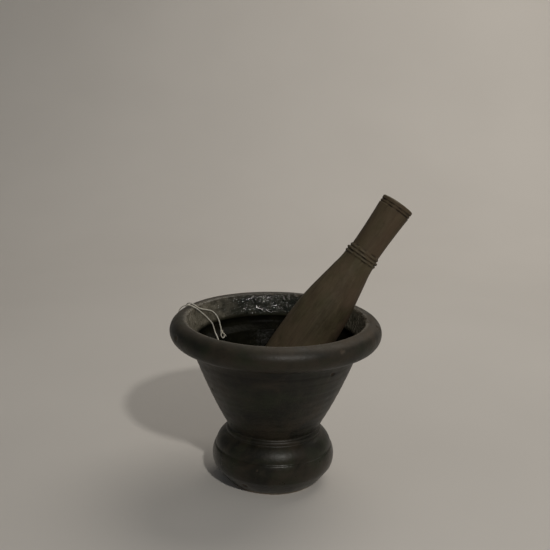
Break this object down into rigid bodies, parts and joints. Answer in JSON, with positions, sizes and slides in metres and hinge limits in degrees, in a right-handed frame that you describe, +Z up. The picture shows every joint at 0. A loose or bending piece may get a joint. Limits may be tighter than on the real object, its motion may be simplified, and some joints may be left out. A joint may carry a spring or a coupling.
{
  "type": "mortar and pestle",
  "caption": "Footed mortar with a thick rolled rim and a flared conical bowl, and a turned wooden pestle that leans in it; a thin tag string hangs over the rim.",
  "frame": {"origin": "middle of the mortar's flat base, on the mortar's turning axis", "axes": "+Z up along the mortar's turning axis; +X towards the side that the pestle leans to; +Y towards the back; the pestle leans on a bearing of 16 degrees from +X towards +Y"},
  "size_m": [0.1844, 0.161, 0.2193],
  "materials": {
    "glazed_stoneware": "glossy dark salt glaze with a fine orange-peel surface",
    "worn_wood": "old turned wood, dry and dark, with fine scratches",
    "cotton_string": "twisted cotton thread"
  },
  "bodies": {
    "mortar": {"mortar": "glazed_stoneware", "tag_string": "cotton_string", "tag_string_knot": "cotton_string"},
    "pestle": {"pestle": "worn_wood"}
  },
  "joints": [
    {"name": "pestle_lift", "type": "slide", "parent": "mortar", "child": "pestle", "axis": [0, 0, 1], "range_m": [0, 0.1]}
  ]
}
